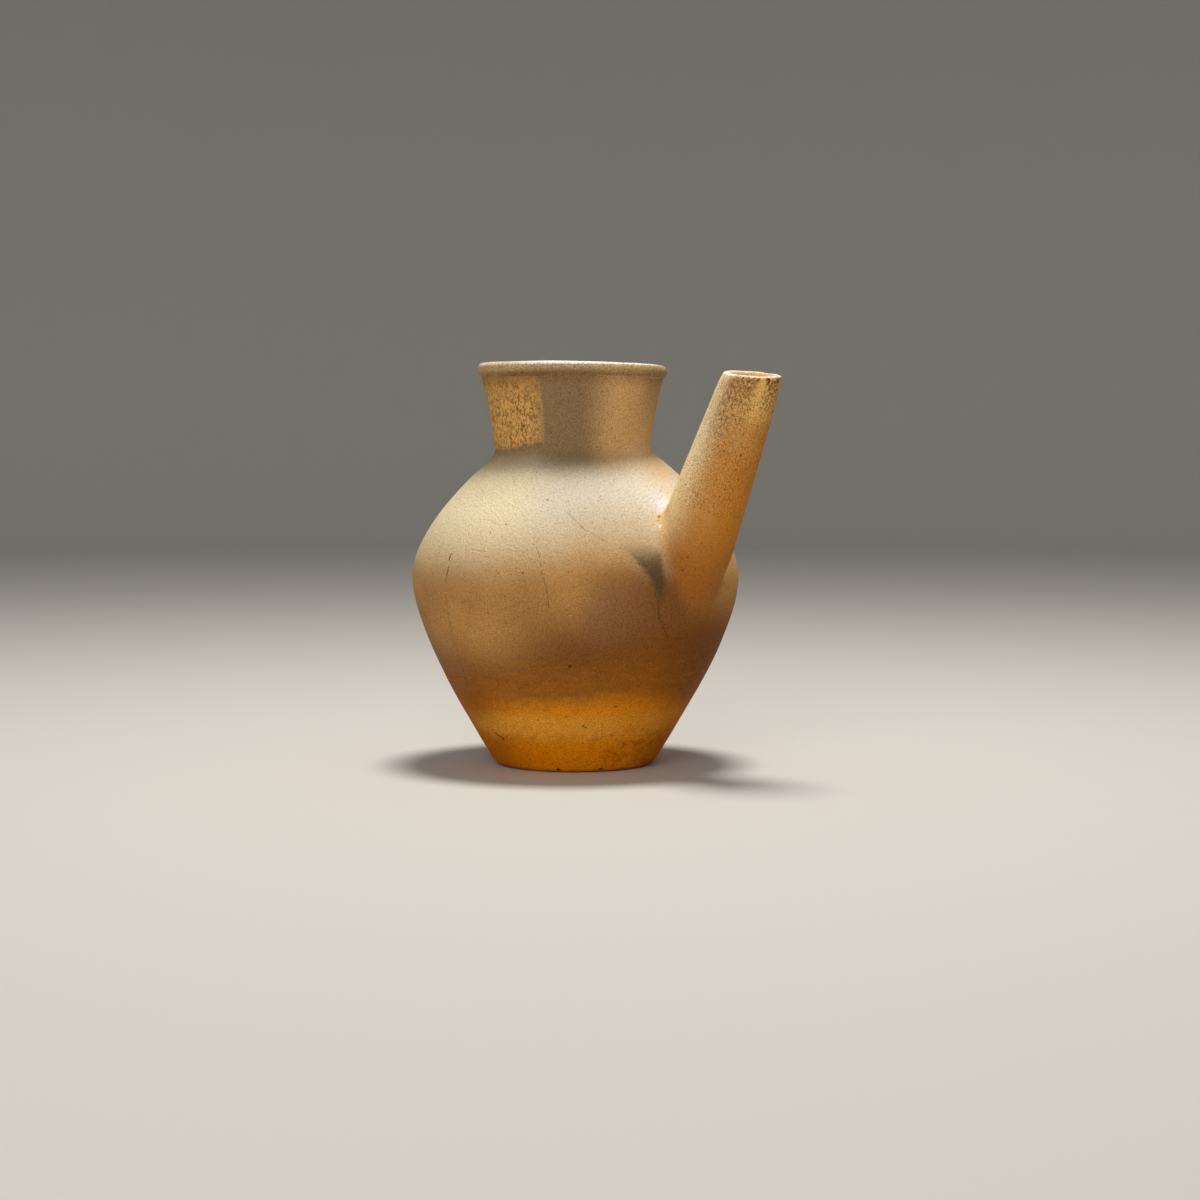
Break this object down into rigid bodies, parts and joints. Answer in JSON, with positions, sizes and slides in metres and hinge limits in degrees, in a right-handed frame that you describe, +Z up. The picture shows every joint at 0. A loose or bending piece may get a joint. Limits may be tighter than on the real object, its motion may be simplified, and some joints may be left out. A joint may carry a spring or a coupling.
{
  "type": "feeding vessel",
  "caption": "Round-bellied handmade jar with a flaring neck, a rolled rim and a tapered side spout for feeding liquids by the mouth, built of lapped and luted clay sections.",
  "frame": {"origin": "centre of the foot's flat underside, where the jar stands", "axes": "+Z up along the jar's axis, +X from the jar's axis towards the spout, +Y completes the right-handed frame"},
  "size_m": [0.1665, 0.1308, 0.16],
  "materials": {
    "amber_clay": "satin, unglazed, glowing amber at the foot",
    "tan_clay": "satin, sandy grain with pinholes",
    "cream_slip": "satin, pale burnished slip",
    "grey_cream_slip": "satin, slip worn through in patches",
    "worn_cream_slip": "worn and slightly chipped",
    "ochre_clay": "satin, speckled and stained below the lip",
    "smoothed_clay": "satin, wiped smooth"
  },
  "bodies": {
    "root": {"base_dish": "amber_clay", "lower_wall": "tan_clay", "shoulder": "cream_slip", "neck": "grey_cream_slip", "rim": "worn_cream_slip", "spout": "ochre_clay", "spout_luting": "smoothed_clay"}
  },
  "joints": []
}
